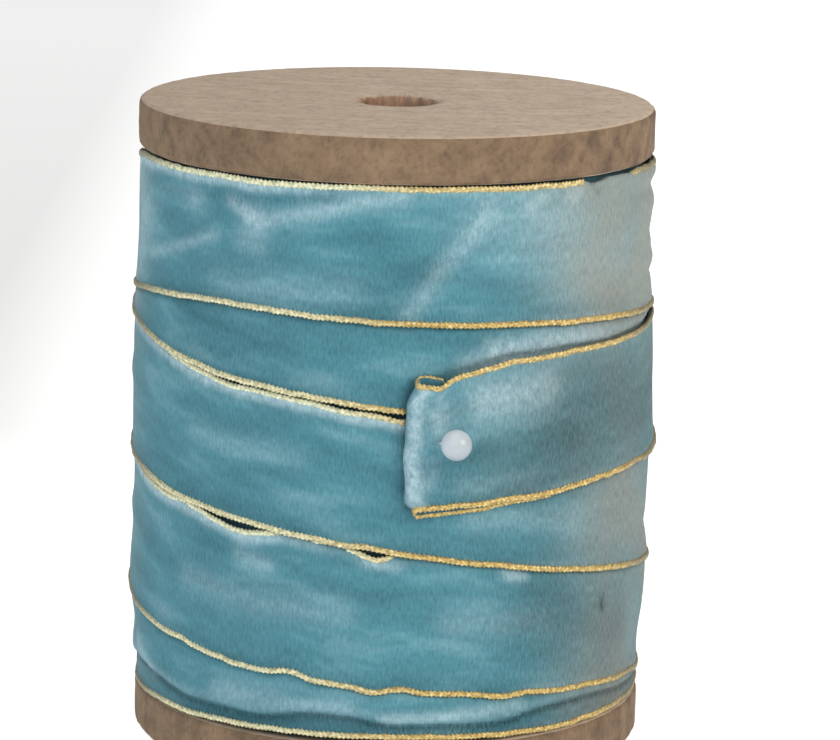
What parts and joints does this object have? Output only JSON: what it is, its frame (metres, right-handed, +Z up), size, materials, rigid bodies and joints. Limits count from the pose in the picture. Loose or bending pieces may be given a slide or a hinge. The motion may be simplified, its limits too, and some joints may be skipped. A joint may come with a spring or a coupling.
{
  "type": "ribbon spool",
  "caption": "Wooden spool wound with velvet ribbon that has metallic overlocked edges, its folded free end held by a pearl-headed pin.",
  "frame": {"origin": "middle of the underside of the bottom flange, on the spool's axis", "axes": "+Z up the spool's axis, -Y towards the front where the ribbon's pinned end shows, +X to the viewer's right"},
  "size_m": [0.0724, 0.0778, 0.087],
  "materials": {
    "aged_wood": "greyed, unvarnished, fine sanded wood with darker mottling on the rim",
    "raw_wood": "raw drilled wood, warm brown",
    "velvet": "dusty teal velvet, short crushed pile",
    "gold_thread": "metallic gold overlock thread, satin",
    "pin_steel": "plain bright pin wire",
    "pearl_bead": "pearlescent white, glossy"
  },
  "bodies": {
    "spool": {"top_flange": "aged_wood", "bottom_flange": "aged_wood", "core": "raw_wood", "ribbon_winding": "velvet", "ribbon_course": "velvet", "course_lower_thread": "gold_thread", "course_upper_thread": "gold_thread", "tail_root": "velvet", "tail_root_lower_thread": "gold_thread", "tail_root_upper_thread": "gold_thread"},
    "tail": {"ribbon_tail": "velvet", "tail_lower_thread": "gold_thread", "tail_upper_thread": "gold_thread"},
    "pin": {"pin_shank": "pin_steel", "pearl_head": "pearl_bead"}
  },
  "joints": [
    {"name": "tail_lift", "type": "hinge", "parent": "spool", "child": "tail", "pos_m": [0.0366, 0, 0.049], "axis": [0, 0, 1], "range_deg": [0, 90]},
    {"name": "pin_pull", "type": "slide", "parent": "tail", "child": "pin", "axis": [0.8118, -0.584, 0], "range_m": [0, 0.018]}
  ]
}
